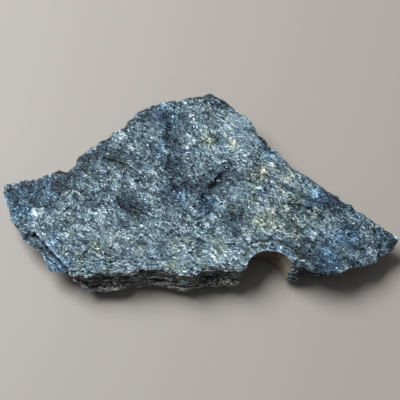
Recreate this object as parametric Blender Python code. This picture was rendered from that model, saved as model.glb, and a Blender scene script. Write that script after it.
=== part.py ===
"""A broken slab of nuummite, a dark fibrous stone, with part of a drilled hole in its front edge.

The slab lies on its flattest side. +X runs along its length, +Y to its back edge and +Z up, with the
origin at the middle of the box round it, on the resting face. Lengths are millimetres until the
layers are made into a mesh, which is in metres.
"""

import math

import bmesh
import bpy
from mathutils import Matrix, Vector, kdtree, noise

MM = 0.001

# Driving dimensions
THICKNESS = 12.0
LEAST_THICKNESS = 3.0
BORE_DIAMETER = 14.0
BORE_CENTRE = (22.3, -32.4, 11.1)
BORE_RUN = (-3.4, 1.9, -10.8)
BORE_SEGMENTS = 72

# Faces that meet at more than this keep a sharp edge between them.
CREASE = math.radians(22)

# How finely the stone is shaped, and how many triangles are left of it
EDGE_SPACING = 0.9
OUT_REACH = 5
VOXEL = 0.5
TRIANGLES = 9100

# The skin rounds off corners, so the edge starts this much further out.
CORNER_LOSS = 0.45

# The top edge seen from above, clockwise from the left tip. Each stretch has its name, how far the
# foot of its wall stands in under the top edge, how unevenly its layers broke back, and its corners.
EDGE = [
    ("ear", 1.6, 0.4, [
        (-62.5, -2.5), (-61.5, 0.5), (-56.5, 2), (-53, 2.5), (-49, 4), (-45.5, 4.5), (-43.5, 4),
        (-41.5, 3)]),
    ("back left", 1.4, 1.0, [
        (-40, 5), (-38.5, 6), (-39, 8), (-37.5, 10), (-35, 12), (-32.5, 14.5), (-30.5, 16),
        (-28.5, 16.5), (-27, 18), (-24, 19.5), (-23.5, 22), (-20.5, 26.4), (-17.5, 28.5),
        (-15, 29.4)]),
    ("back", 1.0, 1.0, [
        (-12.5, 28.9), (-7.5, 29.8), (-5, 30.8), (1.2, 32.3), (4, 35), (6, 32.9), (9.8, 29.3)]),
    ("back right", 1.4, 1.0, [
        (13.2, 25.8), (15.7, 23.6), (17.4, 21), (19, 19), (19.5, 16.5), (21.5, 15.5), (23, 12.5),
        (26, 9), (29, 5.2), (31, 4.2), (33, 3), (36.5, 1.8), (39, -0.8), (42.5, -3.2),
        (44.5, -4.5), (45.5, -7), (49.5, -8.7), (50.5, -10.2), (53, -12.7), (57.5, -15.5)]),
    ("right tip", 1.5, 0.5, [
        (61, -17.8), (62.5, -19.5), (61.5, -21.5), (60, -23), (57, -25)]),
    ("front right", 4.4, 0.6, [
        (54.5, -27.5), (50.5, -29), (48, -29.5), (44.5, -31.5), (39.5, -32.8)]),
    ("right of the hole", 1.2, 0.5, [
        (36.5, -32.2), (33.5, -30.8)]),
    ("beside the hole", -2.4, 0.2, [
        (31, -30), (28.5, -29.3)]),
    ("front middle", -0.6, 0.8, [
        (15, -31), (13, -31.5), (8.5, -31), (4.5, -31), (1.5, -31.5), (-0.5, -33.5)]),
    ("front facet", -2.2, 0.2, [
        (-3, -33.5), (-7, -32.5), (-10.5, -31.5), (-14.5, -31), (-18.5, -31.5)]),
    ("front left", -0.6, 0.9, [
        (-22, -32), (-26, -32.5), (-30, -32.5), (-34, -33), (-37.8, -31.8)]),
    ("flake", 3.2, 0.5, [
        (-40.2, -30.6), (-45.2, -30.2), (-46.5, -28), (-47, -26), (-48, -24), (-51, -22)]),
    ("left edge", 2.2, 0.5, [
        (-53.5, -20), (-54.5, -18), (-56.5, -15), (-58.5, -11.5), (-59, -9.5), (-60, -8),
        (-61.5, -4.5)]),
]

# Layers from the foot up: the part of the thickness that each takes, and how far it broke back.
LAYERS = [
    ("foot", 0.00, 0.19, 1.8),
    ("lower shelf", 0.17, 0.38, 0.0),
    ("dark band", 0.36, 0.50, 1.7),
    ("upper shelf", 0.48, 0.66, 0.3),
    ("under the top", 0.64, 0.78, 1.6),
    ("top", 0.76, 1.00, 0.0),
]

# Lower layers that stand out from the front wall: where along X they start and end, and how far.
SHELVES = [
    ("left shelf", -37.0, -20.0, 2.2),
    ("right shelf", -2.0, 14.0, 2.0),
]
SHELF_LEVEL = 0.45
SHELF_TAPER = 4.0

# Heights of the top between its edges, as broad swells: x, y and height.
TOP_PLACES = [
    ("left tip", -60, -8, 6.2), ("left", -46, -14, 9.4), ("left front", -38, -27, 9.8),
    ("back left", -30, 11, 10.2), ("centre left", -22, -6, 10.8), ("centre", 0, 2, 9.8),
    ("back", -8, 26, 10.0), ("peak", 5, 31, 10.0), ("upper right", 12, 17, 10.9),
    ("right of the middle", 24, -3, 11.0), ("front", 0, -26, 11.2), ("front left", -22, -26, 11.0),
    ("behind the bore", 22, -20, 11.4), ("right", 42, -14, 10.4), ("front right", 38, -28, 10.6),
    ("right tip", 60, -19, 6.4),
]
TOP_REACH = 10.0

# Heights of the underside. What is below zero is worn flat, and the stone rests on it.
UNDERSIDE_PLACES = [
    ("left tip", -60, -6, 2.0), ("ear", -46, 0, 1.4), ("flake", -43, -26, 3.0),
    ("left pad", -31, -18, -0.9), ("back left", -30, 10, 2.0), ("centre left", -16, -4, 0.7),
    ("front", -6, -27, 0.5), ("centre", 2, -8, -1.3), ("back pad", 1, 21, -1.0),
    ("upper right", 13, 12, 1.4), ("right pad", 29, -12, -1.2), ("right", 44, -16, 1.6),
    ("right tip", 60, -19, 3.0), ("front right", 38, -30, 1.6), ("behind the bore", 20, -24, 0.8),
    ("front left", -22, -30, 0.6), ("back", -14, 22, 1.2),
]
UNDERSIDE_REACH = 6.5

# Broken facets of the top: beyond a crease, on its left side, the top falls at a slope.
FACETS = [
    ("ear", 0.27, [(-61, -5.5), (-55.6, -8.6), (-48.5, -9), (-46, -5.8), (-42, -2.2), (-38.5, 1)]),
    ("left edge", 0.45, [(-41.5, -31), (-46, -25), (-51, -19.5), (-57.5, -12)]),
    ("back left", 0.5, [(-36, 7.5), (-27.5, 13.5), (-22, 19.5), (-13, 26.5)]),
    ("peak", 0.4, [(-1, 30), (6.5, 29.5), (12, 24.5)]),
    ("back chip", 0.7, [(18.5, 17), (21.8, 11.5)]),
    ("back lens", 0.75, [(31, 2.3), (35, -1.3), (40, -4)]),
    ("right lens", 0.6, [(41, -5.6), (44, -8.2), (49, -11)]),
    ("right tip", 0.55, [(58.5, -15.5), (57.4, -20.5), (56, -26)]),
]

# Broken steps of the top: beyond a line, on its left side, the top drops by a height and stays
# down for a distance, to the edge where there is no end to it.
STEPS = [
    ("flake", 1.7, math.inf, [
        (-38, -33.5), (-39.6, -31.6), (-42, -28.5), (-45.3, -25), (-47.7, -21.8), (-51, -18.3)]),
    ("diagonal ledge", 1.0, 5.0, [(9.5, 4), (3.9, -1.7), (-0.5, -7)]),
    ("back trough", 0.8, 5.0, [(-10.5, 24), (-11, 14.5), (-9.5, 3)]),
    ("pale facet", -0.7, 5.0, [(-4, 28), (-2, 18.4), (2.4, 7), (13.5, 2.4)]),
    ("right ledge", 0.8, 5.0, [(25, -1), (34, -8), (45, -9.5)]),
    ("left ledge", 0.9, 6.0, [(-24, 1), (-25, -5), (-23.5, -9.5), (-17, -12)]),
]
STEP_WIDTH = 0.9
STEP_FADE = 5.0

# How far beyond the end of its line a facet or a step dies out
LINE_END_FADE = 3.5

# Hollows of the top: x, y, long and short radius, turn in degrees, and depth.
HOLLOWS = [
    ("back left corner", -16.7, 24, 4.5, 2.2, -20, 1.0),
    ("left back", -25, 7.3, 5.0, 2.2, -15, 0.8),
    ("trough", -8.6, 15, 8.0, 2.6, 88, 0.6),
    ("middle", -5.6, -0.7, 3.0, 2.4, 0, 0.8),
    ("left middle", -21, -9.6, 5.0, 3.4, -30, 0.7),
    ("front middle", 11.6, -13.8, 5.0, 3.2, 10, 0.8),
    ("right", 43.7, -9.5, 5.0, 3.0, -35, 0.7),
    ("right front", 30.5, -9, 3.0, 1.6, -20, 0.6),
    ("left", -40, -10, 6.0, 2.5, -35, 0.5),
]

# The chipped lip round the drilled hole
LIP_RADIUS = 10.6
LIP_DEPTH = 0.6
LIP_SLOPE_WIDTH = 1.6

# The grain of the stone runs down to the right on its top, and draws its relief out.
GRAIN_TURN = math.radians(-38)
GRAIN_STRETCH = 2.6

# The top's rim is worn down by this much, from this far in.
EDGE_DROP = 0.5
EDGE_ROUND = 1.8

# The underside rises by this much towards its rim, from this far in.
FOOT_RISE = 1.0
FOOT_ROUND = 4.0

# The top split along its layers, in terraces. A tread takes part of the height between two
# terraces, and a short riser takes the rest.
TERRACE = 0.75
TREAD_PART = 0.35
RISER_WIDTH = 0.3

# Flakes that the surface broke in: their size across the grain, and how much they stand up.
FLAKES = [
    ("broad", 5.5, 0.5),
    ("small", 2.6, 0.25),
]
FLAKE_LUMP = 1.8
FLAKE_TILT = 0.6
FLAKE_RAGGED = 0.35

# Uneven relief: the size of its lumps, how far they stand up, and the pattern they follow.
RELIEF = {
    "edge chips": (4.5, 0.5, 1),
    "layer edges": (5.0, 1.6, 3),
    "crease wander": (5.0, 0.9, 11),
    "grain ridges": (3.0, 0.4, 12),
    "rim wear": (8.0, 0.7, 14),
    "wall streaks": (2.2, 0.5, 31),
    "skin": (2.4, 0.2, 32),
}
TOP_FLAKE_PATTERN = 40
FOOT_FLAKE_PATTERN = 70
STREAK_LENGTH = 5.0


def smooth(value):
    """A step from 0 to 1 with eased ends, as value goes from 0 to 1."""
    value = min(1.0, max(0.0, value))
    return value * value * (3.0 - 2.0 * value)


def crumple(x, y, z, size, pattern):
    """Fractal noise between about -1 and 1, with lumps of a size; each pattern is another place."""
    place = Vector((x / size + 31.7 * pattern, y / size - 17.3 * pattern, z / size))
    return noise.fractal(place, 0.9, 2.0, 4)


def relief(name, x, y, z=0.0, layer=0):
    """The height of one kind of uneven relief at a place."""
    size, rise, pattern = RELIEF[name]
    return rise * crumple(x, y, z, size, pattern + layer)


def remove_everything():
    """Empties the scene that the script starts in."""
    for obj in list(bpy.data.objects):
        bpy.data.objects.remove(obj, do_unlink=True)


class EdgePoint:
    """One place on the top edge, with the way out of the stone and how its wall stands."""

    def __init__(self, place, lean, ragged):
        self.place = place
        self.lean = lean
        self.ragged = ragged
        self.out = Vector((0.0, 0.0))


def edge_points():
    """Points round the top edge, with small breaks between the named corners."""
    corners = [
        EdgePoint(Vector(place), lean, ragged)
        for _, lean, ragged, places in EDGE
        for place in places
    ]
    points = []
    for start, end in zip(corners, corners[1:] + corners[:1]):
        count = max(1, round((end.place - start.place).length / EDGE_SPACING))
        for step in range(count):
            part = step / count
            points.append(EdgePoint(
                start.place.lerp(end.place, part),
                start.lean + (end.lean - start.lean) * part,
                start.ragged + (end.ragged - start.ragged) * part,
            ))
    for index, point in enumerate(points):
        before = points[index - OUT_REACH].place
        after = points[(index + OUT_REACH) % len(points)].place
        along = (after - before).normalized()
        point.out = Vector((-along.y, along.x))
    for point in points:
        point.place = point.place + point.out * (CORNER_LOSS + relief("edge chips", *point.place))
    return points


def shelf(place, level):
    """How far the front wall's lower layers stand out at a place."""
    if level > SHELF_LEVEL or place.y > 0:
        return 0.0
    out = 0.0
    for _, start, end, width in SHELVES:
        from_start = smooth((place.x - start) / SHELF_TAPER)
        to_end = smooth((end - place.x) / SHELF_TAPER)
        out += width * from_start * to_end
    return out


def layer_outline(points, layer):
    """The outline of one layer, which broke off some way in or out from the top edge."""
    _, low, high, set_back = LAYERS[layer]
    level = (low + high) / 2
    outline = []
    for point in points:
        inset = 0.0
        if layer < len(LAYERS) - 1:
            broken = set_back + relief("layer edges", *point.place, layer=layer)
            inset = point.lean * (1.0 - level) + point.ragged * broken
        outline.append(point.place - point.out * (inset - shelf(point.place, level)))
    return outline


def add_layer(bm, outline, low, high):
    """Adds one closed layer between two heights."""
    rings = []
    for height in (low, high):
        rings.append([bm.verts.new((p.x * MM, p.y * MM, height * MM)) for p in outline])
    faces = [bm.faces.new(rings[0]), bm.faces.new(rings[1])]
    count = len(outline)
    for index in range(count):
        after = (index + 1) % count
        faces.append(bm.faces.new(
            (rings[0][index], rings[0][after], rings[1][after], rings[1][index])))
    bmesh.ops.recalc_face_normals(bm, faces=faces)


def apply_modifiers(stone):
    """Gives the stone the mesh that its modifiers make."""
    depsgraph = bpy.context.evaluated_depsgraph_get()
    made = bpy.data.meshes.new_from_object(stone.evaluated_get(depsgraph))
    stone.modifiers.clear()
    before = stone.data
    stone.data = made
    bpy.data.meshes.remove(before)


def fuse(stone):
    """Makes one even skin of the stone, with nothing left that crosses itself."""
    remesh = stone.modifiers.new("Fuse", "REMESH")
    remesh.mode = "VOXEL"
    remesh.voxel_size = VOXEL * MM
    apply_modifiers(stone)


def layered_slab(points):
    """The stack of broken layers, fused to one skin and still of even thickness."""
    bm = bmesh.new()
    for layer, (_, low, high, _) in enumerate(LAYERS):
        add_layer(bm, layer_outline(points, layer), low * THICKNESS, high * THICKNESS)
    bmesh.ops.triangulate(bm, faces=[face for face in bm.faces if len(face.verts) > 4])
    mesh = bpy.data.meshes.new("stone")
    bm.to_mesh(mesh)
    bm.free()
    stone = bpy.data.objects.new("stone", mesh)
    bpy.context.collection.objects.link(stone)
    fuse(stone)
    return stone


def broad_height(place, places, reach):
    """A height between named places, weighted by how near each is."""
    total = 0.0
    weights = 1e-9
    for _, x, y, height in places:
        away = (place.x - x) ** 2 + (place.y - y) ** 2
        weight = math.exp(-away / (2 * reach * reach)) + 1e-6 / (1 + away)
        total += weight * height
        weights += weight
    return total / weights


def past_line(place, line):
    """How far a place lies past a line, positive on its left, and how far beyond the line's ends."""
    best = None
    last = len(line) - 2
    for index, (start, end) in enumerate(zip(line, line[1:])):
        start = Vector(start)
        run = Vector(end) - start
        along = (place - start).dot(run) / run.length_squared
        nearest = start + run * min(1.0, max(0.0, along))
        away = (place - nearest).length
        side = run.cross(place - start) / run.length
        beyond = 0.0
        if along < 0 and index == 0:
            beyond = -along * run.length
        if along > 1 and index == last:
            beyond = (along - 1) * run.length
        if best is None or away < best[0]:
            best = (away, math.copysign(away, side), beyond)
    return best[1], best[2]


def bump(place, x, y, long_radius, short_radius, turn):
    """1 at the middle of an oval, falling smoothly to 0 round it."""
    turn = math.radians(turn)
    dx = place.x - x
    dy = place.y - y
    u = (dx * math.cos(turn) + dy * math.sin(turn)) / long_radius
    v = (dy * math.cos(turn) - dx * math.sin(turn)) / short_radius
    return math.exp(-(u * u + v * v))


def with_the_grain(place):
    """A place's distance along the grain, shortened by the grain's stretch, and across it."""
    along = place.x * math.cos(GRAIN_TURN) + place.y * math.sin(GRAIN_TURN)
    across = place.y * math.cos(GRAIN_TURN) - place.x * math.sin(GRAIN_TURN)
    return along / GRAIN_STRETCH, across


def nearest_middle(here, pattern):
    """The middle of the flake that a place is in, both counted in flakes."""
    middle = None
    for column in (-1, 0, 1):
        for row in (-1, 0, 1):
            cell = Vector((math.floor(here.x) + column, math.floor(here.y) + row, pattern))
            spot = noise.cell_vector(cell + Vector((0.5, 0.5, 0.5)))
            centre = Vector((cell.x + spot.x, cell.y + spot.y, 0.0))
            if middle is None or (here - centre).length < (here - middle).length:
                middle = centre
    return middle


def flakes(place, size, pattern):
    """Relief in flat flakes, drawn out along the grain: each keeps the tilt it has at its middle."""
    along, across = with_the_grain(place)
    along += FLAKE_RAGGED * size * crumple(place.x, place.y, 0, size, pattern + 1)
    across += FLAKE_RAGGED * size * crumple(place.x, place.y, 0, size, pattern + 2)
    here = Vector((along / size, across / size, 0.0))
    middle = nearest_middle(here, pattern)
    step = 0.2
    height = crumple(middle.x, middle.y, 0, FLAKE_LUMP, pattern)
    height_along = crumple(middle.x + step, middle.y, 0, FLAKE_LUMP, pattern)
    height_across = crumple(middle.x, middle.y + step, 0, FLAKE_LUMP, pattern)
    tilt = Vector((height_along - height, height_across - height, 0.0)) / step
    return height + max(-FLAKE_TILT, min(FLAKE_TILT, tilt.dot(here - middle)))


def terraced(height):
    """The height on the nearest terrace, or on the riser between two."""
    level = math.floor(height / TERRACE)
    above = height / TERRACE - level
    riser = smooth((above - 0.5) / RISER_WIDTH + 0.5)
    return TERRACE * (level + TREAD_PART * above + (1.0 - TREAD_PART) * riser)


def bore_lip(place):
    """The shallow chip round the drilled hole."""
    away = (place - Vector(BORE_CENTRE[:2])).length
    return LIP_DEPTH * smooth((LIP_RADIUS - away) / LIP_SLOPE_WIDTH)


def broken_away(place):
    """How much the facets and steps take off the top at a place."""
    wander = relief("crease wander", *place)
    taken = 0.0
    for _, slope, line in FACETS:
        past, beyond = past_line(place, line)
        taken += slope * max(0.0, past + wander) * (1.0 - smooth(beyond / LINE_END_FADE))
    for _, drop, reach, line in STEPS:
        past, beyond = past_line(place, line)
        part = smooth((past + wander) / STEP_WIDTH) * (1.0 - smooth((past - reach) / STEP_FADE))
        taken += drop * part * (1.0 - smooth(beyond / LINE_END_FADE))
    return taken


def top_height(place, edge_distance):
    """The height of the top over a place."""
    height = broad_height(place, TOP_PLACES, TOP_REACH) - broken_away(place)
    for _, x, y, long_radius, short_radius, turn, depth in HOLLOWS:
        height -= depth * bump(place, x, y, long_radius, short_radius, turn)
    for number, (_, size, rise) in enumerate(FLAKES):
        height += rise * flakes(place, size, TOP_FLAKE_PATTERN + 10 * number)
    height += relief("grain ridges", *with_the_grain(place))
    height = terraced(height) - bore_lip(place)
    worn = EDGE_DROP * (1.0 + relief("rim wear", *place))
    return height - worn * (1.0 - smooth(edge_distance / EDGE_ROUND)) ** 2


def underside_height(place, edge_distance):
    """The height of the underside over a place."""
    height = broad_height(place, UNDERSIDE_PLACES, UNDERSIDE_REACH)
    for number, (_, size, rise) in enumerate(FLAKES):
        height += rise * flakes(place, size, FOOT_FLAKE_PATTERN + 10 * number)
    return height + FOOT_RISE * (1.0 - smooth(edge_distance / FOOT_ROUND))


def bend_to_faces(bm, points):
    """Moves the even slab's skin up and down to the stone's top and underside."""
    tree = kdtree.KDTree(len(points))
    for index, point in enumerate(points):
        tree.insert((point.place.x, point.place.y, 0.0), index)
    tree.balance()
    for vert in bm.verts:
        place = Vector((vert.co.x / MM, vert.co.y / MM))
        _, index, distance = tree.find((place.x, place.y, 0.0))
        inward = (points[index].place - place).dot(points[index].out)
        distance = distance if inward > 0 else 0.0
        foot = underside_height(place, distance)
        top = max(top_height(place, distance), foot + LEAST_THICKNESS)
        level = vert.co.z / MM / THICKNESS
        vert.co.z = (foot + level * (top - foot)) * MM


def roughen(bm):
    """Gives the walls the streaks of their layers, and the whole skin small lumps."""
    bm.normal_update()
    moves = []
    for vert in bm.verts:
        x, y, z = vert.co / MM
        wall = 1.0 - abs(vert.normal.z)
        streaks = relief("wall streaks", x / STREAK_LENGTH, y / STREAK_LENGTH, z)
        moves.append(vert.normal * (wall * streaks + relief("skin", x, y, z)) * MM)
    for vert, move in zip(bm.verts, moves):
        vert.co += move


def shape_slab(stone, points):
    """Works the even slab into the broken stone."""
    bm = bmesh.new()
    bm.from_mesh(stone.data)
    bend_to_faces(bm, points)
    roughen(bm)
    bm.to_mesh(stone.data)
    bm.free()
    fuse(stone)


def cutter(name, bm):
    """A hidden tool body for a Boolean."""
    mesh = bpy.data.meshes.new(name)
    bm.to_mesh(mesh)
    bm.free()
    tool = bpy.data.objects.new(name, mesh)
    bpy.context.collection.objects.link(tool)
    tool.hide_render = True
    tool.display_type = "WIRE"
    return tool


def bore_cutter():
    """The leaning core drill that cut the hole at the front edge."""
    bm = bmesh.new()
    bmesh.ops.create_cone(
        bm, cap_ends=True, segments=BORE_SEGMENTS, radius1=BORE_DIAMETER / 2 * MM,
        radius2=BORE_DIAMETER / 2 * MM, depth=5 * THICKNESS * MM)
    turn = Vector(BORE_RUN).to_track_quat("Z", "Y").to_matrix().to_4x4()
    bm.transform(Matrix.Translation(Vector(BORE_CENTRE) * MM) @ turn)
    return cutter("bore_cutter", bm)


def ground_cutter():
    """The ground, which the worn underside is flat on."""
    width = 200 * MM
    depth = THICKNESS * MM
    bm = bmesh.new()
    bmesh.ops.create_cube(bm, size=1.0)
    bm.transform(Matrix.Diagonal((width, width, depth, 1)))
    bm.transform(Matrix.Translation((0, 0, -depth / 2)))
    return cutter("ground_cutter", bm)


def subtract(stone, tool, name):
    """Cuts a tool body out of the stone."""
    cut = stone.modifiers.new(name, "BOOLEAN")
    cut.operation = "DIFFERENCE"
    cut.solver = "EXACT"
    cut.object = tool


def thin_and_cut(stone):
    """Leaves fewer triangles, then cuts the drilled hole and the resting face."""
    thin = stone.modifiers.new("Fewer triangles", "DECIMATE")
    thin.ratio = TRIANGLES / (2 * len(stone.data.polygons))
    tools = [bore_cutter(), ground_cutter()]
    subtract(stone, tools[0], "Drilled hole")
    subtract(stone, tools[1], "Resting face")
    apply_modifiers(stone)
    for tool in tools:
        bpy.data.objects.remove(tool, do_unlink=True)


def stand_on_origin(stone):
    """Moves the stone so that the box round it stands centred on the origin."""
    places = [vert.co for vert in stone.data.vertices]
    low = Vector([min(place[axis] for place in places) for axis in range(3)])
    high = Vector([max(place[axis] for place in places) for axis in range(3)])
    middle = (low + high) / 2
    stone.data.transform(Matrix.Translation((-middle.x, -middle.y, -low.z)))


def stone_material():
    """Dark slate blue with a weak gloss."""
    material = bpy.data.materials.new("stone")
    material.use_nodes = True
    shader = material.node_tree.nodes["Principled BSDF"]
    shader.inputs["Base Color"].default_value = (0.10, 0.13, 0.145, 1.0)
    shader.inputs["Roughness"].default_value = 0.5
    shader.inputs["Metallic"].default_value = 0.0
    return material


def build():
    """Makes the stone."""
    remove_everything()
    points = edge_points()
    stone = layered_slab(points)
    shape_slab(stone, points)
    thin_and_cut(stone)
    stand_on_origin(stone)
    stone.data.name = "stone"
    stone.data.materials.clear()
    stone.data.materials.append(stone_material())
    stone.data.shade_smooth()
    stone.data.set_sharp_from_angle(angle=CREASE)


build()
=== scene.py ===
"""The looks of a broken slab of nuummite, a dark fibrous stone, on a pale floor.

The fine skin starts from the CAD stone and takes its crystals, ledges and broken layers from noise.
Lengths on the stone are millimetres in the frame's axes, until they are written to a mesh. The
floor, the light and the camera are in metres.
"""

import math

import bpy
import numpy as np
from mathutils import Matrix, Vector


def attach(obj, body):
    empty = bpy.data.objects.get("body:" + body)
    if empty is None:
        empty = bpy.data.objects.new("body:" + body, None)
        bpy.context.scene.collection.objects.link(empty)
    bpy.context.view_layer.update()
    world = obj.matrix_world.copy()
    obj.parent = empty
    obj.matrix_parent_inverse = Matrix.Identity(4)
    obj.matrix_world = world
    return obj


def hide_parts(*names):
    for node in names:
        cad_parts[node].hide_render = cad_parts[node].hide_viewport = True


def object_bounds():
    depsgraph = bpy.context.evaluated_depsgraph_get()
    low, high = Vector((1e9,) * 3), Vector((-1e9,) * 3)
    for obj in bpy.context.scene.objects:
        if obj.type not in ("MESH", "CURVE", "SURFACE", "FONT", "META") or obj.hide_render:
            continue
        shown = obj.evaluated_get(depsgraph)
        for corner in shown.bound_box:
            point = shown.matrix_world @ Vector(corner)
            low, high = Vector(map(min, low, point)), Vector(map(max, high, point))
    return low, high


MM = 0.001

# The hole that a core drill left: a point on its axis, the way it runs, and its radius
BORE_CENTRE = np.array((22.23, -31.89, 11.1))
BORE_RUN = np.array((-3.4, 1.9, -10.8)) / math.hypot(3.4, 1.9, 10.8)
BORE_RADIUS = 7.0

# Its wall is what lies about this close to its radius. It ends at so many times that, and inside
# limits to the sides and to the back.
BORE_SKIN = 0.12
BORE_END = 1.6
BORE_MIDDLE = 22
BORE_REACH = 9.5
BORE_BACK = -22

# The grain runs down to the right on the top, and nearly level along the front.
GRAIN = math.radians(-38)
FRONT_GRAIN = math.radians(-6)

# The longest edges of the skin: where the stone is looked at, and on its hidden sides
FINE = 0.36
COARSE = 0.85

# The most triangles that the skin keeps
MOST_TRIANGLES = 195000

# Each pair is where a part of the stone begins, as a place or a facing, and how wide its edge is.
SEEN_HEIGHT = (3.5, 3.0)
FRONT_SIDE = (-18.0, 6.0)
OFF_THE_FLOOR = (0.8, 1.0)
FACING_UP = (0.2, 0.5)
FACING_DOWN = (0.15, 0.5)
# Top faces turned to the back past this get painted shade.
FACING_BACK = (0.15, 0.35)
FRONT_FIELD = (-20.5, 2.5)
CENTRE_FIELD = (1.2, 0.3)
SHELF_TOP = (7.8, 1.0)
LOW_LAYERS = (4.8, 1.0)
RIM_FOOT = (7.5, 1.0)
LEFT_END = (-38.0, 2.0)
# Past this, the right side of the drilled hole's wall gets painted light.
BORE_PAINTED_LIGHT_SIDE = (2.0, 3.5)
LIP = (2.2, 1.2)
PAD_HEIGHT = (0.35, 0.3)
PAD_FACING = (0.5, 0.3)

# The field of even grains in the middle of the top: its centre and its half sizes
CENTRE = (-9, -1)
CENTRE_SIZE = (13, 8)

# How ragged the edges of the front and of the middle field are, and the size of their lumps
FRONT_RAGGED = 3.0
CENTRE_RAGGED = 0.2
RAGGED_SIZE = 5.0

# The shelves stand out from the front wall, as far as this to both sides of their middle.
FRONT_WALL = -24
SHELF_MIDDLE = -12
SHELF_REACH = 27

# The walls of the left end look like the top, down to this height and by this share.
LEFT_END_FLOOR = 5.5
LEFT_END_SHARE = 0.7

# The top of the front wall, under the rim, gets painted shade, and the lip of the drilled hole is paler
# and bluer.
RIM_PAINTED_SHADE = 0.25
LIP_PALE = 0.8
LIP_BLUE = 0.35

# Sizes of the forms in the relief: length, width and height
NEEDLE = (1.5, 0.45, 0.6)
FRONT_NEEDLE = (1.5, 0.5, 0.5)
GRANULE = 0.7
LEDGE = (3.4, 1.7, 2.0)
FLAKE = (1.5, 0.75, 0.9)
LAYER = (4.5, 4.5, 0.9)
SPLIT = (2.0, 2.0, 0.45)
UNDER_CHIP = (3.2, 2.2, 2.0)

# How much each of them stands out. A granule stands out as a needle does.
NEEDLE_DEPTH = 0.13
LEDGE_DEPTH = 0.34
FLAKE_DEPTH = 0.22
LAYER_DEPTH = 0.40
SPLIT_DEPTH = 0.22
UNDER_DEPTH = 0.4

# The underside as a whole is set back by this.
UNDER_SINK = 0.15

# Rough lumps between the forms, and the waves of the layers, as depth and size
TOP_LUMPS = (0.12, 1.4)
SIDE_LUMPS = (0.12, 0.9)
UNDER_LUMPS = (0.15, 1.2)
LAYER_WAVES = (1.2, 7.0)

# How far the skin's corners are eased towards their neighbours, and how often: to blunt the CAD
# stone's facets, and to get the level surface that hollows are measured from
BLUNTING = (0.5, 2)
LEVELLING = (0.6, 14)

# Painted shade in hollows: the depth of a hollow that gets full shade, and the limits of the shade, in
# full depths. Below 0 is a crest, which gets painted light.
PAINTED_SHADE_DEPTH = 0.22
PAINTED_SHADE_LIMITS = (-0.6, 2.5)

# Sizes of the crystals and other marks in the colours: length, width and height
NEEDLE_MARKS = (0.66, 0.21, 0.30)
FRONT_NEEDLE_MARKS = (0.70, 0.22, 0.26)
GRANULE_MARKS = (0.34, 0.29, 0.34)
LARGE_CRYSTALS = (1.6, 0.9, 1.0)
BUNDLES = (5.0, 2.6, 2.6)
FINE_MARKS = (0.36, 0.18, 0.22)
FLOW = (2.8, 0.55, 0.9)
FRONT_FLOW = (3.0, 0.60, 0.6)
CLOUDS = (7.0, 4.0, 5.0)
BLUE_CLOUDS = (4.0, 4.0, 4.0)
WARM_CLOUDS = (7.0, 5.0, 5.0)
GOLD_CLUSTERS = (1.5, 0.8, 1.0)
WALL_STREAKS = (3.6, 3.6, 0.34)
WALL_WAVES = (8.0, 8.0, 8.0)
BORE_MARKS = (1.6, 1.6, 1.6)

# The bundles of needles point this many radians apart at most, and in front by this share less.
LAY_SPREAD = 1.5
FRONT_ORDER = 0.6

# How much each mark and mask adds to the tone of the top or to the streaks of the walls
SHADE_TONE = 0.47
FINE_TONE = 1.15
BASE_TONE = -0.31
MARK_TONES = {"flow": 0.55, "bundle": 0.20, "clouds": 0.80}
# The hollow, crack and back masks are painted shade, with painted light on crests, and the dark mask is
# partly painted shade.
MASK_TONES = {"dark": -0.25, "painted_hollow_shade": -0.22, "crack_with_painted_shade": -0.34, "painted_back_shade": -0.17}
SHADE_STREAKS = 0.22
MASK_STREAKS = {"painted_hollow_shade": -0.16, "crack_with_painted_shade": -0.40, "dark": -0.18}

# Crystals whose random number is past the first number have the second one added to their tone.
# The bright needles are painted glints.
PAINTED_GLINT_NEEDLES = (0.92, 0.24)
DARK_NEEDLES = (0.10, -0.18)
BRIGHT_CRYSTALS = (0.95, 0.15)
DARK_CRYSTALS = (0.06, -0.12)

# The tone that pale patches turn to, and how far
PALE_TONE = 0.80
PALE_SHARE = 0.45

# The colours that a tone turns into, from the darkest crystals to the brightest
TOP_COLOURS = [
    (0.05, (0.003, 0.006, 0.011)), (0.30, (0.016, 0.034, 0.051)), (0.50, (0.062, 0.108, 0.141)),
    (0.68, (0.148, 0.226, 0.264)), (0.84, (0.35, 0.45, 0.505)), (0.97, (0.80, 0.89, 0.93)),
]
WALL_COLOURS = [
    (0.21, (0.004, 0.006, 0.008)), (0.385, (0.030, 0.034, 0.036)),
    (0.525, (0.105, 0.106, 0.10)), (0.71, (0.46, 0.44, 0.39)),
]
BORE_COLOURS = [(0.3, (0.058, 0.045, 0.031)), (0.7, (0.120, 0.097, 0.070))]

# What a patch multiplies the colour under it by
BLUE_TINT = (0.66, 0.90, 1.20, 1)
WARM_TINT = (1.20, 1.05, 0.73, 1)
GOLD_TINT = (1.15, 1.04, 0.74, 1)
RUST_TINT = (1.22, 0.90, 0.74, 1)
# Painted light on the right side of the drilled hole's wall, lighter and greener
BORE_PAINTED_LIGHT_TINT = (1.55, 1.75, 1.75, 1)

# Where a noise begins to tint, and how fast its tint grows. The blue one begins at 0.
WARM_GAIN = (0.52, 3.0)
CLUSTER_GAIN = (0.71, 8.0)
RUST_GAIN = (0.42, 6.0)
BLUE_GAIN = 1.8

# The warm clouds are turned by this, in radians, so that they don't lie like the others.
WARM_TURN = 1.0

# How much a golden patch adds to the warm tint, and to the noise of the golden clusters
GOLD_WARMTH = 0.75
GOLD_CLUSTERING = 0.14

# How much the walls' own colour covers, and how high their layers wave
WALL_COVER = 0.9
WALL_LIFT = 5.0

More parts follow.
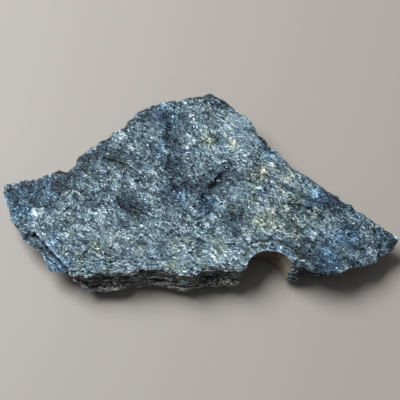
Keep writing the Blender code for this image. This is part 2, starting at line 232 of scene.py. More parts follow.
# How rough each part is: the needles between two limits, by their random number
NEEDLE_ROUGHNESS = (0.30, 0.60)
WALL_ROUGHNESS = 0.7
BORE_ROUGHNESS = 0.75
SPECULAR = 0.3

# The fine bumps: the shares of the crystals' faces and of the fine marks, and how much smoother
# the bore is
TILT_BUMPS = 0.9
FINE_BUMPS = 0.4
BORE_SMOOTHNESS = 0.85
BUMP_STRENGTH = 0.75
BUMP_HEIGHT = 0.4

# Named patches seen from above, as x, y, radius and strength. The ear is the narrow left end.
BLUE = [
    ("ear tip", -58.5, -3.5, 4, 1.0), ("ear", -51, -1, 6, 0.6), ("left edge", -56, -10, 5, 0.9),
    ("flake", -46, -22, 4, 0.7), ("left front corner", -42, -28, 5, 0.7),
    ("back", -10, 24, 6, 0.7), ("trough", -10, 11, 5, 0.4), ("left of the middle", -6, -3.5, 5, 0.6),
    ("middle", 3, -9, 4, 0.8), ("upper right edge", 21.5, 9.5, 3, 0.7), ("right", 38, -5.5, 4.5, 1.0),
    ("right back", 48, -9, 5, 0.5), ("right middle", 45, -20.5, 5, 0.8),
    ("right front", 39.5, -28, 5, 1.0), ("right tip", 59, -15, 4, 0.8),
]
GOLD = [
    ("left corner", -34, -25, 5, 0.7), ("left", -26, 8, 4, 0.5), ("left front", -25.5, -21.5, 4, 0.8),
    ("front strip", -8, -27, 6, 0.4), ("upper right", 3, 15.7, 3, 0.7), ("front", 7.5, -21, 4, 0.7),
    ("upper right edge", 11.7, 13.5, 2, 0.8), ("front middle", 14, -10, 5, 0.7),
    ("right of the middle", 19, 1, 6, 0.5), ("behind the bore", 20, -16.5, 6, 0.9),
    ("right", 29.3, 0.3, 3, 0.9), ("right middle", 31, -8, 8, 0.7), ("right front", 29, -17, 5, 0.9),
]
# Dark patches: some are darker stone, and some are painted shade, along the back edge, on the walls
# right of the drilled hole and at the end of the right tip.
DARK_AND_PAINTED_SHADE = [
    ("ear tip", -56, -1, 4, 0.6), ("ear", -50, 0, 6, 0.8), ("ear end", -43.5, 0.5, 5.5, 1.0),
    ("ear crest", -47.5, -5, 3.5, 0.8), ("ear edge", -58, -8, 2.5, 0.6),
    ("ear foot", -38.2, -8.5, 2.5, 0.6), ("left edge", -53, -18, 3.5, 0.6),
    ("left field", -32, -6, 4.5, 0.6), ("left back field", -34.8, -1, 3, 0.8),
    ("back left notch", -37, 6.5, 4, 0.9), ("back left wall", -31.5, 12, 3, 0.6),
    ("back left edge", -29, 15, 3, 0.7), ("left back", -26, 8.7, 5, 0.8),
    ("front rim left", -26.5, -30, 2.5, 0.9), ("left middle", -21, -7.5, 5, 0.9),
    ("back left corner", -16, 25.5, 5, 0.8), ("back", -8.5, 23.4, 4.5, 0.9),
    ("back edge left", -14.5, 28.5, 2.5, 0.8), ("back edge", -8, 30.5, 2.5, 0.8),
    ("back edge right", -1, 32.5, 2.5, 0.8), ("peak", 5, 34.5, 3, 0.9),
    ("right of the peak", 10, 30.5, 2.5, 0.6), ("upper right edge", 14.5, 27, 2.0, 0.3),
    ("trough", -8, 14.6, 4, 0.8), ("lower trough", -8.3, 7, 4, 0.95),
    ("upper middle", 2.3, 15.4, 2.5, 0.5), ("middle back", -2.5, 5, 3.5, 0.4),
    ("centre", -6.5, 0.5, 5, 1.15), ("front of the centre", -4, -12, 3, 0.4),
    ("ledge", 2, -2, 5, 1.05), ("upper ledge", 7.7, 1.7, 3.5, 0.8), ("lower ledge", 2, -9, 4, 0.3),
    ("middle right", 15, 1.2, 3, 0.5), ("front middle", 11, -12, 5, 0.5),
    ("front", 5.3, -19, 3, 0.5), ("front right", 11.5, -18.9, 3, 0.4),
    ("back chip", 21, 15.4, 3, 0.9), ("behind the bore", 23.3, -8.5, 2.5, 0.5),
    ("right ledge", 31.5, -7.5, 3.5, 0.5), ("back lens", 35, 2, 2.5, 0.5),
    ("right lens", 43, -4, 3.5, 0.6), ("right", 43, -8.5, 5, 0.8),
    ("right middle", 36.3, -16.5, 2.5, 0.6), ("lower right", 47, -16, 4, 0.5),
    ("right end", 49.6, -20.8, 3.5, 0.8), ("right of the bore", 33, -25, 3.5, 0.8),
    ("right of the bore, behind", 37.4, -24.7, 2.5, 0.6), ("right front", 44, -28, 4, 0.3),
    ("right front edge", 51, -26.8, 3, 0.8), ("right front wall", 38, -33.5, 5, 1.0),
    ("wall right of the bore", 31.8, -32.1, 3.5, 1.0), ("right tip", 54, -20, 5, 0.3),
    ("right tip back", 60.5, -17.5, 2.2, 1.5), ("right tip end", 61.9, -20.4, 2.0, 2.0),
    ("right tip corner", 60.6, -22.6, 2.0, 1.8),
]
# Pale patches, one of them a painted glint near the middle of the top.
PALE = [
    ("crystal", -50.3, -9.9, 2.2, 2.2), ("painted glint", 6.6, 5.6, 1.0, 2.2),
    ("flake", -45, -27.5, 4, 0.5), ("left", -34, -15, 5, 0.35), ("left front", -37, -20, 5, 0.6),
    ("left back", -25, -3, 3, 0.9), ("left middle back", -24.5, -5, 2.5, 0.9),
    ("left middle", -28, -12, 4.5, 0.6), ("front left", -27, -20, 5, 0.6),
    ("back", -18, 15.5, 3.5, 0.9), ("front middle", -12, -16.5, 5, 0.5),
    ("front rim", -14.5, -29, 3, 0.9), ("front strip", -16.5, -27.5, 4.5, 1.2),
    ("front strip left", -10, -26, 4, 0.8), ("front strip middle", -2, -28.5, 4, 1.2),
    ("front strip right", 6, -26, 5, 1.2), ("front strip end", 15.5, -27.5, 3.5, 1.2),
    ("upper middle", 6.5, 11, 6, 0.7), ("upper right", 11, 19, 7, 1.0),
    ("upper right edge", 16, 14, 5, 0.9), ("upper right back", 14.8, 21.8, 4, 1.2),
    ("right edge top", 19, 11.5, 3.5, 0.8), ("right edge", 25, 6.5, 4, 0.8),
    ("middle", 14.3, -3, 4.5, 1.0), ("right top", 28, 1, 4, 0.9),
    ("right back edge", 33.8, -2.6, 5, 1.0), ("behind the bore", 22, -13, 5, 0.6),
    ("close behind the bore", 20, -18, 4, 0.6), ("right middle", 36, -19.5, 4, 0.5),
    ("right spot", 40, -16, 2.4, 1.6), ("lower right", 45.5, -20, 3.5, 0.4),
    ("right tip", 58, -20, 1.8, 1.0),
]
RUST = [
    ("right of the middle", 20, 2.5, 3.5, 1.0), ("behind the right ledge", 27, -1.5, 3, 0.5),
    ("right top", 30, 0.5, 3, 0.7), ("front middle", 22, -11, 4, 0.6), ("right middle", 29, -12, 3, 0.5),
]
PATCHES = {"blue": BLUE, "gold": GOLD, "dark": DARK_AND_PAINTED_SHADE, "pale": PALE, "rust": RUST}

# How far the edges of the patches wander, and the size of their lumps
WANDER = 2.2
WANDER_SIZE = 4.0

# A patch ends at this many radii.
PATCH_END = 1.35

# Thin cracks in the top, cut into the skin and with painted shade in their colour: how wide, how deep,
# and the points of a line along each
CRACKS = [
    ("flake", 0.45, 0.85, [(-51, -18), (-47.8, -21.3), (-45.4, -24.5), (-42.1, -28), (-39.7, -31.1)]),
    ("flake layer", 0.30, 0.45, [(-48.4, -22.6), (-46.6, -25.2), (-43.2, -28.6), (-41.4, -31.4)]),
    ("behind the bore", 0.40, 0.40, [
        (15.1, -22.7), (18.5, -21.4), (22.2, -21), (25.9, -21.7), (28.8, -24.1)]),
    ("right of the bore", 0.30, 0.15, [(31.4, -22.4), (34.3, -24.7), (39, -28.1), (44.7, -30.1)]),
    ("right tip", 0.55, 0.35, [(57.1, -15.5), (57.2, -19.7), (56.2, -24.8)]),
    ("ear", 0.35, 0.25, [(-58.9, -2.4), (-53, -8.2), (-48.4, -8.3), (-44.7, -6.5), (-43, -2.9)]),
    ("left back", 0.30, 0.50, [(-30.2, 8.6), (-26.3, 7.8), (-22.4, 6), (-19.5, 3.4)]),
    ("left middle", 0.35, 0.60, [(-25.2, -5.7), (-23.8, -9.2), (-21.2, -10.6), (-16.2, -11.7)]),
    ("diagonal", 0.40, 0.20, [(-0.6, -6.7), (1.6, -3.1), (4.5, -0.6), (8.3, 3.4)]),
    ("low diagonal", 0.30, 0.40, [(-0.6, -14.5), (1.9, -12.4), (4.4, -10.3)]),
    ("right ledge", 0.30, 0.40, [(28.3, -8.5), (32, -8.5), (35.7, -10.3)]),
]

# How far the cracks waver, and over what length
CRACK_WAVER = 0.25
CRACK_WAVER_SIZE = 1.2

# The cracks are in the top alone, above this height.
CRACK_FLOOR = 4.5

# How far the skin may pass the box of the CAD stone, to the sides and upwards
PAST_SIDES = 0.3
PAST_TOP = 0.25

# Corners sharper than this stay sharp.
SHARP = math.radians(38)


def smooth(value):
    """A step from 0 to 1 with eased ends, as value goes from 0 to 1."""
    value = np.clip(value, 0.0, 1.0)
    return value * value * (3.0 - 2.0 * value)


def above(value, start, width):
    """0 up to the start, and 1 from a width further up."""
    return smooth((value - start) / width)


def below(value, start, width):
    """0 down to the start, and 1 from a width further down."""
    return smooth((start - value) / width)


def scatter(cells, pattern):
    """Three random numbers from 0 to 1 for each whole-number place, by mixing its bits."""
    cells = cells.astype(np.int64).astype(np.uint64)
    seed = cells[..., 0] * np.uint64(374761393) + cells[..., 1] * np.uint64(668265263)
    seed = seed + cells[..., 2] * np.uint64(2147483647) + np.uint64(1274126177 * (pattern + 1))
    low = np.uint64(0xFFFFFFFF)
    numbers = []
    for turn in range(3):
        mixed = (seed + np.uint64(97531 * turn)) & low
        mixed = ((mixed ^ (mixed >> np.uint64(15))) * np.uint64(2246822519)) & low
        mixed = ((mixed ^ (mixed >> np.uint64(13))) * np.uint64(3266489917)) & low
        numbers.append((mixed ^ (mixed >> np.uint64(16))) / 4294967296.0)
    return np.stack(numbers, -1)


def swell(places, pattern):
    """Smooth noise between about -1 and 1, with lumps one unit in size."""
    low = np.floor(places)
    part = places - low
    ease = part * part * part * (part * (part * 6 - 15) + 10)
    total = np.zeros(len(places))
    for corner in range(8):
        step = np.array([corner & 1, corner >> 1 & 1, corner >> 2 & 1])
        lean = scatter(low + step, pattern) * 2 - 1
        weight = np.prod(np.where(step == 1, ease, 1 - ease), axis=1)
        total += weight * np.einsum("ij,ij->i", lean, part - step)
    return total * 1.5


def crumple(places, pattern, octaves=3):
    """Noise in several sizes, each half of the one before."""
    total = np.zeros(len(places))
    for octave in range(octaves):
        total += swell(places * 2 ** octave, pattern + octave) / 2 ** octave
    return total


def lumps(places, depth, size, pattern):
    """Rough lumps of a depth and a size."""
    return depth * crumple(places / size, pattern)


def chips(places, pattern):
    """Flat chips one unit in size: each has its own height and tilt."""
    low = np.floor(places)
    best = np.full(len(places), np.inf)
    height = np.zeros(len(places))
    for number in range(27):
        step = np.array([number % 3, number // 3 % 3, number // 9]) - 1
        middle = low + step + scatter(low + step, pattern)
        away = places - middle
        distance = np.einsum("ij,ij->i", away, away)
        nearer = distance < best
        tilt = scatter(low + step, pattern + 50) - 0.5
        value = np.einsum("ij,ij->i", away, tilt) * 1.4 + tilt[:, 2]
        best = np.where(nearer, distance, best)
        height = np.where(nearer, value, height)
    return height


def turned(places, angle, size):
    """The places turned to a grain direction, each direction counted in its own unit."""
    x = places[:, 0] * math.cos(angle) + places[:, 1] * math.sin(angle)
    y = places[:, 1] * math.cos(angle) - places[:, 0] * math.sin(angle)
    return np.stack((x, y, places[:, 2]), axis=1) / size


def from_line(places, line):
    """The distance of each place from a line of points, seen from above."""
    nearest = np.full(len(places), np.inf)
    for start, end in zip(line, line[1:]):
        start = np.array(start, float)
        run = np.array(end, float) - start
        along = np.clip((places[:, :2] - start) @ run / (run @ run), 0, 1)
        away = np.linalg.norm(places[:, :2] - start - along[:, None] * run, axis=1)
        nearest = np.minimum(nearest, away)
    return nearest


def off_axis(places):
    """The way from the axis of the drilled hole to each place."""
    away = places - BORE_CENTRE
    return away - np.outer(away @ BORE_RUN, BORE_RUN)


def from_bore(places):
    """The distance of each place from the wall of the drilled hole, inwards negative."""
    return np.linalg.norm(off_axis(places), axis=1) - BORE_RADIUS


def read_mesh(mesh):
    """The corners and triangles of a mesh, with corners in the same place made one."""
    places = np.empty(len(mesh.vertices) * 3)
    mesh.vertices.foreach_get("co", places)
    mesh.calc_loop_triangles()
    faces = np.empty(len(mesh.loop_triangles) * 3, np.int64)
    mesh.loop_triangles.foreach_get("vertices", faces)
    places = np.round(places.reshape(-1, 3) / MM, 4)
    places, same = np.unique(places, axis=0, return_inverse=True)
    return places, same.reshape(-1)[faces].reshape(-1, 3)


def edges_of(faces, count):
    """Every edge once, and for each triangle the edges that it has."""
    ends = np.concatenate([faces[:, [0, 1]], faces[:, [1, 2]], faces[:, [2, 0]]])
    keys = ends.min(axis=1) * count + ends.max(axis=1)
    keys, which = np.unique(keys, return_inverse=True)
    return np.stack((keys // count, keys % count), axis=1), which.reshape(3, -1).T


def longest_at(places):
    """How long an edge may be: short where the stone is looked at, longer on its hidden sides."""
    y, z = places[:, 1], places[:, 2]
    seen = np.maximum(above(z, *SEEN_HEIGHT), below(y, *FRONT_SIDE) * above(z, *OFF_THE_FLOOR))
    return COARSE + (FINE - COARSE) * seen


def split_long(places, faces):
    """Halves every edge that is too long, and cuts the triangles on it to suit."""
    edges, of_face = edges_of(faces, len(places))
    middles = places[edges].mean(axis=1)
    length = np.linalg.norm(places[edges[:, 0]] - places[edges[:, 1]], axis=1)
    long = length > longest_at(middles)
    added = np.where(long, len(places) + np.cumsum(long) - 1, -1)[of_face]
    halves = (added >= 0).sum(axis=1)
    made = [faces[halves == 0]]
    for turn in range(3):
        a, b, c = (faces[:, (turn + step) % 3] for step in range(3))
        ab, bc, ca = (added[:, (turn + step) % 3] for step in range(3))
        one = (halves == 1) & (ab >= 0)
        two = (halves == 2) & (ab >= 0) & (bc >= 0)
        every = halves == 3
        made += [np.stack(new, axis=1)[one] for new in ((a, ab, c), (ab, b, c))]
        made += [np.stack(new, axis=1)[two] for new in ((ab, b, bc), (a, ab, bc), (a, bc, c))]
        made.append(np.stack((a, ab, ca), axis=1)[every])
        if turn == 0:
            made.append(np.stack((ab, bc, ca), axis=1)[every])
    return np.concatenate([places, middles[long]]), np.concatenate(made), long.any()


def normals_of(places, faces):
    """The way each corner faces."""
    corners = places[faces]
    facing = np.cross(corners[:, 1] - corners[:, 0], corners[:, 2] - corners[:, 0])
    normals = np.zeros_like(places)
    for axis in range(3):
        for corner in range(3):
            normals[:, axis] += np.bincount(faces[:, corner], facing[:, axis], len(places))
    return normals / np.maximum(np.linalg.norm(normals, axis=1), 1e-12)[:, None]


def relaxed(places, faces, amount, rounds):
    """The skin with its corners eased towards their neighbours, by an amount at each place."""
    edges, _ = edges_of(faces, len(places))
    ends = np.concatenate([edges, edges[:, ::-1]])
    neighbours = np.bincount(ends[:, 0], minlength=len(places))
    for _ in range(rounds):
        mean = np.stack([
            np.bincount(ends[:, 0], places[ends[:, 1], axis], len(places)) / neighbours
            for axis in range(3)], axis=1)
        places = places + amount[:, None] * (mean - places)
    return places


def relief(places, masks):
    """How far the fine skin stands out from the smooth one, in millimetres."""
    grain = np.where(
        masks["front"] > 0.5, swell(turned(places, FRONT_GRAIN, FRONT_NEEDLE), pattern=5),
        swell(turned(places, GRAIN, NEEDLE), pattern=5))
    grain = np.where(masks["centre"] > 0.5, swell(places / GRANULE, pattern=5), grain)
    ledges = chips(turned(places, GRAIN, LEDGE), pattern=11)
    flakes = chips(turned(places, GRAIN, FLAKE), pattern=12)
    top = NEEDLE_DEPTH * grain + LEDGE_DEPTH * ledges + FLAKE_DEPTH * flakes
    top += lumps(places, *TOP_LUMPS, pattern=15)
    waved = places + np.outer(lumps(places, *LAYER_WAVES, pattern=16), (0, 0, 1))
    side = LAYER_DEPTH * chips(waved / LAYER, pattern=21)
    side += SPLIT_DEPTH * chips(waved / SPLIT, pattern=22)
    side += lumps(places, *SIDE_LUMPS, pattern=23)
    under = UNDER_DEPTH * chips(places / UNDER_CHIP, pattern=31)
    under += lumps(places, *UNDER_LUMPS, pattern=32)
    made = masks["top"] * top + masks["wall"] * side + masks["under"] * (under - UNDER_SINK)
    return (made - masks["crack_with_painted_shade"]) * (1 - masks["bore"])


def bore_mask(places):
    """The wall of the drilled hole, and nothing else of the stone."""
    close = smooth(BORE_END - np.abs(from_bore(places)) / BORE_SKIN)
    beside = np.abs(places[:, 0] - BORE_MIDDLE) < BORE_REACH
    return close * beside * (places[:, 1] < BORE_BACK)


def part_masks(places, normals):
    """Which part of the stone each place belongs to."""
    x, y, z = places.T
    top = above(normals[:, 2], *FACING_UP)
    under = above(-normals[:, 2], *FACING_DOWN)
    ragged = crumple(places / RAGGED_SIZE, pattern=61)
    from_centre = np.linalg.norm((places[:, :2] - CENTRE) / CENTRE_SIZE, axis=1)
    wall = 1 - np.maximum(top, under)
    wall *= 1 - LEFT_END_SHARE * below(x, *LEFT_END) * (z > LEFT_END_FLOOR)
    shelf = below(z, *SHELF_TOP) * (np.abs(x - SHELF_MIDDLE) < SHELF_REACH) * (y < FRONT_WALL)
    wall = np.maximum(wall, np.maximum(shelf, below(z, *LOW_LAYERS)) * (1 - under))
    return {
        "top": top, "under": under, "wall": wall, "bore": bore_mask(places),
        # The right side of the drilled hole's wall, which gets painted light
        "bore painted light": above(off_axis(places)[:, 0], *BORE_PAINTED_LIGHT_SIDE),
        "front": below(y - FRONT_RAGGED * ragged, *FRONT_FIELD),
        "centre": below(from_centre + CENTRE_RAGGED * ragged, *CENTRE_FIELD),
    }


def patch_masks(places):
    """How much of each kind of patch is at each place."""
    wander = [crumple(places / WANDER_SIZE, pattern) for pattern in (3, 7)]
    wandered = places[:, :2] + WANDER * np.stack(wander, axis=1)
    masks = {}
    for kind, named in PATCHES.items():
        masks[kind] = np.zeros(len(places))
        for _, x, y, radius, strength in named:
            away = np.linalg.norm(wandered - (x, y), axis=1)
            masks[kind] = np.maximum(masks[kind], strength * smooth(PATCH_END - away / radius))
    return masks


def crack_mask(places, under):
    """How deep the cracks are at each place."""
    waver = CRACK_WAVER * swell(places / CRACK_WAVER_SIZE, pattern=41)
    crack_with_painted_shade = np.zeros(len(places))
    for _, width, depth, line in CRACKS:
        away = from_line(places, line) + waver
        crack_with_painted_shade = np.maximum(crack_with_painted_shade, depth * np.exp(-(away / width) ** 2))
    return crack_with_painted_shade * (places[:, 2] > CRACK_FLOOR) * (1 - under)


def masks_of(places, normals):
    """What each place of the skin is part of, and what colours its patches have."""
    masks = {**part_masks(places, normals), **patch_masks(places)}
    # The cracks are cut into the skin, and their colour gets painted shade.
    masks["crack_with_painted_shade"] = crack_mask(places, masks["under"])
    lip = masks["top"] * (1 - masks["bore"]) * below(from_bore(places), *LIP)
    # Painted shade on the top of the front wall, under the rim
    rim = masks["wall"] * above(places[:, 2], *RIM_FOOT) * (places[:, 1] < FRONT_WALL)
    masks["dark"] = np.maximum(masks["dark"], RIM_PAINTED_SHADE * rim)
    masks["pale"] = np.maximum(masks["pale"], LIP_PALE * lip)
    masks["blue"] = np.maximum(masks["blue"], LIP_BLUE * lip)
    return masks


def thinned(mesh):
    """The mesh with its smallest and flattest triangles merged until it has few enough."""
    full = bpy.data.objects.new("full skin", mesh)
    bpy.context.scene.collection.objects.link(full)
    full.modifiers.new("merge", "DECIMATE").ratio = MOST_TRIANGLES / len(mesh.polygons)
    merged = full.evaluated_get(bpy.context.evaluated_depsgraph_get())
    thin = bpy.data.meshes.new_from_object(merged)
    bpy.data.objects.remove(full)
    bpy.data.meshes.remove(mesh)
    places = np.empty(len(thin.vertices) * 3)
    thin.vertices.foreach_get("co", places)
    places[2::3] = np.maximum(places[2::3], 0.0)
    thin.vertices.foreach_set("co", places)
    thin.name = "nuummite_skin"
    return thin


def fine_places(places, faces):
    """The corners of the fine skin, and the masks that its material reads."""
    normals = normals_of(places, faces)
    pad = below(places[:, 2], *PAD_HEIGHT) * above(-normals[:, 2], *PAD_FACING)
    share, rounds = BLUNTING
    eased = relaxed(places, faces, share * (1 - bore_mask(places)) * (1 - pad), rounds)
    normals = normals_of(eased, faces)
    masks = masks_of(eased, normals)
    moved = eased + normals * relief(eased, masks)[:, None]
    moved = np.where(pad[:, None] > 0.5, eased, moved)
    share, rounds = LEVELLING
    level = relaxed(moved, faces, np.full(len(moved), share), rounds)
    depth = np.einsum("ij,ij->i", level - moved, normals)
    # Painted shade in hollows below the levelled skin, and painted light on crests
    masks["painted_hollow_shade"] = np.clip(depth / PAINTED_SHADE_DEPTH, *PAINTED_SHADE_LIMITS)
    # Painted shade on top faces turned to the back
    masks["painted_back_shade"] = above(normals_of(level, faces)[:, 1], *FACING_BACK) * masks["top"]
    low, high = (np.array(corner) / MM for corner in CAD_BOX)
    low = low - (PAST_SIDES, PAST_SIDES, 0.0)
    high = high + (PAST_SIDES, PAST_SIDES, PAST_TOP)
    return np.clip(moved, low, high), masks


def fine_skin(stone):
    """The stone's skin with its crystals, ledges and broken layers, as one new mesh."""
    places, faces = read_mesh(stone.data)
    splitting = True
    while splitting:
        places, faces, splitting = split_long(places, faces)
    places, masks = fine_places(places, faces)
    mesh = bpy.data.meshes.new("nuummite_skin")
    mesh.from_pydata((places * MM).tolist(), [], faces.tolist())
    for name, values in masks.items():
        attribute = mesh.attributes.new(name, "FLOAT", "POINT")
        attribute.data.foreach_set("value", values.astype(np.float32))
    mesh = thinned(mesh)
    mesh.shade_smooth()
    mesh.set_sharp_from_angle(angle=SHARP)
    skin = bpy.data.objects.new("nuummite_skin", mesh)
    bpy.context.scene.collection.objects.link(skin)
    return skin


class Nodes:
    """Builds the nodes of one material."""

    def __init__(self, name):
        self.material = bpy.data.materials.new(name)
        self.material.use_nodes = True
        self.tree = self.material.node_tree
        self.shader = self.tree.nodes["Principled BSDF"]

    def set(self, socket, value):
        """Gives a socket a value, or links another socket to it."""
        if isinstance(value, bpy.types.NodeSocket):
            self.tree.links.new(value, socket)
        else:
            socket.default_value = value

    def look(self, name, value):
        """Sets one of the shader's own sockets."""
        self.set(self.shader.inputs[name], value)

    def add(self, kind, inputs=(), **settings):
        """Adds a node with its settings, and its inputs by name or number."""
        node = self.tree.nodes.new(kind)
        for name, value in settings.items():
            setattr(node, name, value)
        for name, value in dict(inputs).items():
            self.set(node.inputs[name], value)
        return node

    def math(self, operation, a, b=0.0, clamp=False):
        """One sum on numbers."""
        node = self.add("ShaderNodeMath", {0: a, 1: b}, operation=operation, use_clamp=clamp)
        return node.outputs[0]

    def plus(self, value, part, amount, middle=0.0):
        """A value with some of a part added, the part counted from its middle."""
        if middle:
            part = self.math("SUBTRACT", part, middle)
        return self.math("ADD", value, self.math("MULTIPLY", part, amount))

    def gain(self, value, start, amount, clamp=False):
        """How far a value is past a start, times an amount."""
        return self.math("MULTIPLY", self.math("SUBTRACT", value, start), amount, clamp)

    def without(self, part, share):
        """1 where a part isn't, and less by a share where it is."""
        return self.math("SUBTRACT", 1.0, self.math("MULTIPLY", part, share))

    def vector_math(self, operation, a, b):
        """One sum on vectors."""
        return self.add("ShaderNodeVectorMath", {0: a, 1: b}, operation=operation)

    def part(self, name):
        """One of the masks that the skin carries."""
        return self.add("ShaderNodeAttribute", attribute_name=name).outputs["Fac"]

    def mix(self, part, a, b, blend="MIX"):
        """Colour a with some of colour b over it."""
        node = self.add("ShaderNodeMix", data_type="RGBA", blend_type=blend)
        self.set(node.inputs[0], part)
        self.set(node.inputs[6], a)
        self.set(node.inputs[7], b)
        return node.outputs[2]

    def tinted(self, part, colour, tint):
        """A colour with some of it multiplied by a tint."""
        return self.mix(part, colour, tint, "MULTIPLY")

    def blend(self, part, a, b):
        """Number a turning to number b."""
        node = self.add("ShaderNodeMix", {0: part, 2: a, 3: b}, data_type="FLOAT")
        return node.outputs[0]

    def ramp(self, value, stops):
        """Colours at positions along a value."""
        node = self.add("ShaderNodeValToRGB", {0: value})
        marks = node.color_ramp.elements
        marks[0].position, marks[0].color = stops[0][0], (*stops[0][1], 1)
        marks[1].position, marks[1].color = stops[-1][0], (*stops[-1][1], 1)
        for position, colour in stops[1:-1]:
            marks.new(position).color = (*colour, 1)
        return node.outputs[0]

    def spread(self, where, turn, size):
        """The stone's own coordinates, turned about the vertical, each direction in its own unit."""
        turned_to = self.add("ShaderNodeVectorRotate", {
            "Vector": where, "Angle": turn}, rotation_type="Z_AXIS").outputs[0]
        scale = [1.0 / (one * MM) for one in size]
        return self.vector_math("MULTIPLY", turned_to, scale).outputs[0]

    def crystals(self, where):
        """Crystals in a set of coordinates: two random numbers for each, and its tilted face."""
        cells = self.add("ShaderNodeTexVoronoi", {"Vector": where, "Scale": 1.0, "Randomness": 1.0})
        away = self.vector_math("SUBTRACT", where, cells.outputs["Position"]).outputs[0]
        lean = self.vector_math("SUBTRACT", cells.outputs["Color"], (0.5, 0.5, 0.5)).outputs[0]
        tilt = self.vector_math("DOT_PRODUCT", away, lean).outputs["Value"]
        numbers = self.add("ShaderNodeSeparateColor", {0: cells.outputs["Color"]})
        return numbers.outputs[0], numbers.outputs[1], tilt

    def noise(self, where, detail, rough=0.55):
        """Noise from 0 to 1."""
        return self.add("ShaderNodeTexNoise", {
            "Vector": where, "Scale": 1.0, "Detail": detail, "Roughness": rough}).outputs[0]


def texture_of(n, where):
    """The marks in the stone: crystals, fine grain and streaks that lie along the grain."""
    front, wall = n.part("front"), n.part("wall")
    bundles = n.crystals(n.spread(where, -GRAIN, BUNDLES))
    lay = n.gain(bundles[0], 0.5, LAY_SPREAD)
    lay = n.math("MULTIPLY", lay, n.without(front, FRONT_ORDER))
    along = n.math("ADD", lay, -GRAIN)
    along_front = n.math("ADD", lay, -FRONT_GRAIN)
    level = n.math("MAXIMUM", front, wall)
    on_top = n.crystals(n.spread(where, along, NEEDLE_MARKS))
    in_front = n.crystals(n.spread(where, along_front, FRONT_NEEDLE_MARKS))
    in_centre = n.crystals(n.spread(where, 0.0, GRANULE_MARKS))
    shade, other, tilt = (
        n.blend(n.part("centre"), n.blend(level, a, b), c)
        for a, b, c in zip(on_top, in_front, in_centre))
    flow = n.blend(
        level, n.noise(n.spread(where, along, FLOW), detail=3.0, rough=0.6),
        n.noise(n.spread(where, along_front, FRONT_FLOW), detail=3.0, rough=0.6))
    return {
        "along": along, "wall": wall, "bundle": bundles[1], "shade": shade, "other": other,
        "tilt": tilt, "flow": flow,
        "fine": n.noise(n.spread(where, along, FINE_MARKS), detail=2.0, rough=0.75),
        "clouds": n.noise(n.spread(where, -GRAIN, CLOUDS), detail=4.0, rough=0.65),
        "large": n.crystals(n.spread(where, along, LARGE_CRYSTALS))[1],
    }


def singled_out(n, tone, number, bright, dark):
    """A tone with some crystals made brighter and some darker, by a random number of each."""
    tone = n.plus(tone, n.math("GREATER_THAN", number, bright[0]), bright[1])
    return n.plus(tone, n.math("LESS_THAN", number, dark[0]), dark[1])


def tone_of(n, marks):
    """How bright the top is, from its marks, its patches, painted glints and painted shade."""
    tone = n.plus(n.math("MULTIPLY", marks["shade"], SHADE_TONE), marks["fine"], FINE_TONE)
    tone = n.math("ADD", tone, BASE_TONE)
    for name, amount in MARK_TONES.items():
        tone = n.plus(tone, marks[name], amount, middle=0.5)
    # Painted glints on a few needles, and a few darker needles
    tone = singled_out(n, tone, marks["other"], PAINTED_GLINT_NEEDLES, DARK_NEEDLES)
    tone = n.blend(n.math("MULTIPLY", n.part("pale"), PALE_SHARE), tone, PALE_TONE)
    tone = singled_out(n, tone, marks["large"], BRIGHT_CRYSTALS, DARK_CRYSTALS)
    # Painted shade in hollows, cracks, shaded patches and on faces turned back, and painted light on
    # crests
    for name, amount in MASK_TONES.items():
        tone = n.plus(tone, n.part(name), amount)
    return tone


def top_colour(n, where, marks):
    """Slate blue, with blue, warm, golden and rusty patches."""
    colour = n.ramp(tone_of(n, marks), TOP_COLOURS)
    blue = n.noise(n.spread(where, 0.0, BLUE_CLOUDS), detail=2.0)
    blue = n.math("MULTIPLY", n.part("blue"), n.math("MULTIPLY", blue, BLUE_GAIN), clamp=True)
    colour = n.tinted(blue, colour, BLUE_TINT)
    warm = n.gain(n.noise(n.spread(where, WARM_TURN, WARM_CLOUDS), detail=2.0), *WARM_GAIN)
    warm = n.math("ADD", warm, n.math("MULTIPLY", n.part("gold"), GOLD_WARMTH), clamp=True)
    colour = n.tinted(warm, colour, WARM_TINT)
    clusters = n.noise(n.spread(where, marks["along"], GOLD_CLUSTERS), detail=2.0, rough=0.6)
    clusters = n.gain(n.plus(clusters, n.part("gold"), GOLD_CLUSTERING), *CLUSTER_GAIN, clamp=True)
    colour = n.tinted(clusters, colour, GOLD_TINT)
    rust = n.math("MULTIPLY", n.part("rust"), n.gain(marks["flow"], *RUST_GAIN, clamp=True))
    return n.tinted(rust, colour, RUST_TINT)


def wall_colour(n, where, marks):
    """Brown-grey streaks along the broken layers, which wave a little."""
    wave = n.noise(n.spread(where, 0.0, WALL_WAVES), detail=2.0)
    lift = n.add("ShaderNodeCombineXYZ", {"Z": n.math("MULTIPLY", wave, WALL_LIFT * MM)})
    bent = n.vector_math("ADD", where, lift.outputs[0]).outputs[0]
    streaks = n.noise(n.spread(bent, 0.0, WALL_STREAKS), detail=4.0, rough=0.65)
    streaks = n.plus(streaks, marks["shade"], SHADE_STREAKS, middle=0.5)
    # Painted shade in hollows, cracks and shaded patches
    for name, amount in MASK_STREAKS.items():
        streaks = n.plus(streaks, n.part(name), amount)
    return n.ramp(streaks, WALL_COLOURS)


def bore_colour(n, where):
    """The drab wall of the drilled hole, with painted light on its right side, which is lighter and
    greener.
    """
    drab = n.ramp(n.noise(n.spread(where, 0.0, BORE_MARKS), detail=4.0), BORE_COLOURS)
    return n.tinted(n.part("bore painted light"), drab, BORE_PAINTED_LIGHT_TINT)


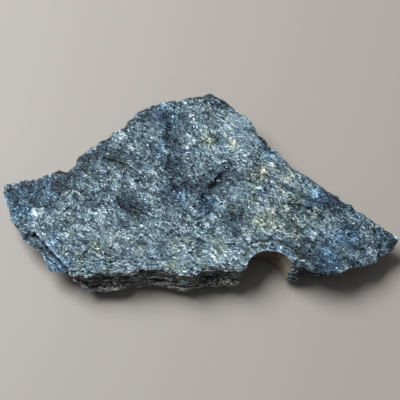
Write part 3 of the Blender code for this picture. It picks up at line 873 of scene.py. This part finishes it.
def stone_material():
    """Slate-blue needles and grains on top, brown-grey layers on the walls, and a drab bore."""
    n = Nodes("nuummite")
    where = n.add("ShaderNodeTexCoord").outputs["Object"]
    marks = texture_of(n, where)
    bore, wall = n.part("bore"), marks["wall"]
    colour = top_colour(n, where, marks)
    colour = n.mix(n.math("MULTIPLY", wall, WALL_COVER), colour, wall_colour(n, where, marks))
    n.look("Base Color", n.mix(bore, colour, bore_colour(n, where)))
    rough = n.blend(wall, n.blend(marks["other"], *NEEDLE_ROUGHNESS), WALL_ROUGHNESS)
    n.look("Roughness", n.blend(bore, rough, BORE_ROUGHNESS))
    n.look("Specular IOR Level", SPECULAR)
    height = n.plus(n.math("MULTIPLY", marks["tilt"], TILT_BUMPS), marks["fine"], FINE_BUMPS)
    height = n.math("MULTIPLY", height, n.without(bore, BORE_SMOOTHNESS))
    bump = n.add("ShaderNodeBump", {
        "Strength": BUMP_STRENGTH, "Distance": BUMP_HEIGHT * MM, "Height": height})
    n.look("Normal", bump.outputs[0])
    return n.material


def floor():
    """A plain pale floor."""
    n = Nodes("floor")
    n.look("Base Color", (0.256, 0.231, 0.204, 1))
    n.look("Roughness", 0.6)
    half = 1.5
    corners = [(-half, -half, 0), (half, -half, 0), (half, half, 0), (-half, half, 0)]
    mesh = bpy.data.meshes.new("floor")
    mesh.from_pydata(corners, [], [(0, 1, 2, 3)])
    mesh.materials.append(n.material)
    ground = bpy.data.objects.new("floor", mesh)
    bpy.context.scene.collection.objects.link(ground)


def window():
    """A large soft light behind and left of the stone, turned towards it."""
    place = Vector((-0.54, 0.42, 0.86))
    light = bpy.data.lights.new("window", "AREA")
    light.shape = "RECTANGLE"
    light.size = 0.80
    light.size_y = 0.66
    light.energy = 26.0
    light.color = (0.94, 0.97, 1.0)
    lamp = bpy.data.objects.new("window", light)
    lamp.location = place
    lamp.rotation_euler = (-place).to_track_quat("-Z", "Y").to_euler()
    bpy.context.scene.collection.objects.link(lamp)


def room_light():
    """Weak light from all round."""
    world = bpy.data.worlds.new("room")
    world.use_nodes = True
    background = world.node_tree.nodes["Background"]
    background.inputs["Color"].default_value = (0.95, 0.97, 1.0, 1)
    background.inputs["Strength"].default_value = 0.22
    bpy.context.scene.world = world


def camera():
    """A camera above the front of the stone."""
    target = Vector((0.00069, -0.00458, 0.006))
    elevation = math.radians(62)
    distance = 0.319
    data = bpy.data.cameras.new("camera")
    data.lens = 90
    data.sensor_width = 36
    eye = bpy.data.objects.new("camera", data)
    forward = Vector((0, math.cos(elevation), -math.sin(elevation)))
    eye.location = target - forward * distance
    eye.rotation_euler = forward.to_track_quat("-Z", "Y").to_euler()
    bpy.context.scene.collection.objects.link(eye)
    bpy.context.scene.camera = eye


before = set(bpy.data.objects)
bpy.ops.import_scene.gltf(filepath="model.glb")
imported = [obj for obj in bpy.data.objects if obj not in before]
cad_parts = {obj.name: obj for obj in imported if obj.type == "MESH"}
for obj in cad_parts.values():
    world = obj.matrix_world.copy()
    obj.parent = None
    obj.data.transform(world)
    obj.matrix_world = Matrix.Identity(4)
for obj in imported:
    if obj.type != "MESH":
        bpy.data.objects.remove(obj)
CAD_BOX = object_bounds()

skin = fine_skin(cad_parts["stone"])
skin.data.materials.append(stone_material())
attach(skin, "root")
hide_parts("stone")
floor()
window()
room_light()
camera()
bpy.context.scene.view_settings.view_transform = "Standard"
